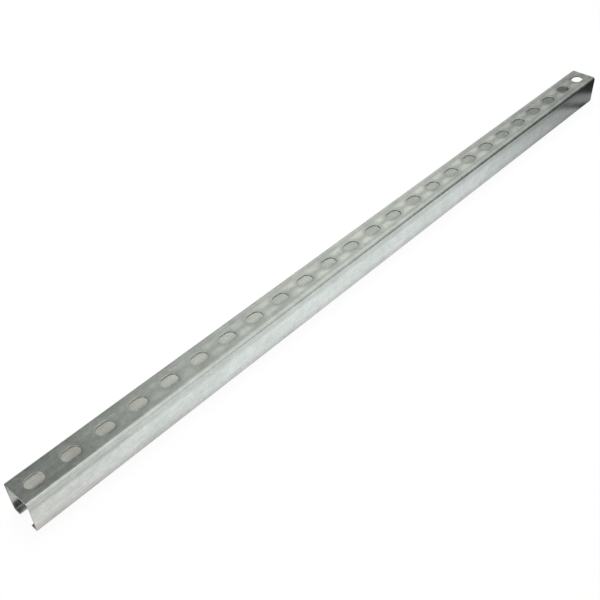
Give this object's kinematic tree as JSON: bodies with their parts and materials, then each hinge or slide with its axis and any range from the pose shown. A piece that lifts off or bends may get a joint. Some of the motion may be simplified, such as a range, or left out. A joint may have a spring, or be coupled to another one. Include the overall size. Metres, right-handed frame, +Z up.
{
  "type": "strut channel",
  "caption": "Straight cold-rolled C-section rail with two flat inturned lips along an open mouth and a row of oblong slots along its web.",
  "frame": {"origin": "midway along the rail, centred between its side walls, on the plane of the lips' outer faces, which it lies on", "axes": "+X along the rail, +Y across it, +Z up from the lips to the web"},
  "size_m": [1, 0.038, 0.04],
  "materials": {
    "zinc_coated_steel": "mill zinc coating, satin"
  },
  "bodies": {
    "root": {"strut_channel": "zinc_coated_steel"}
  },
  "joints": []
}
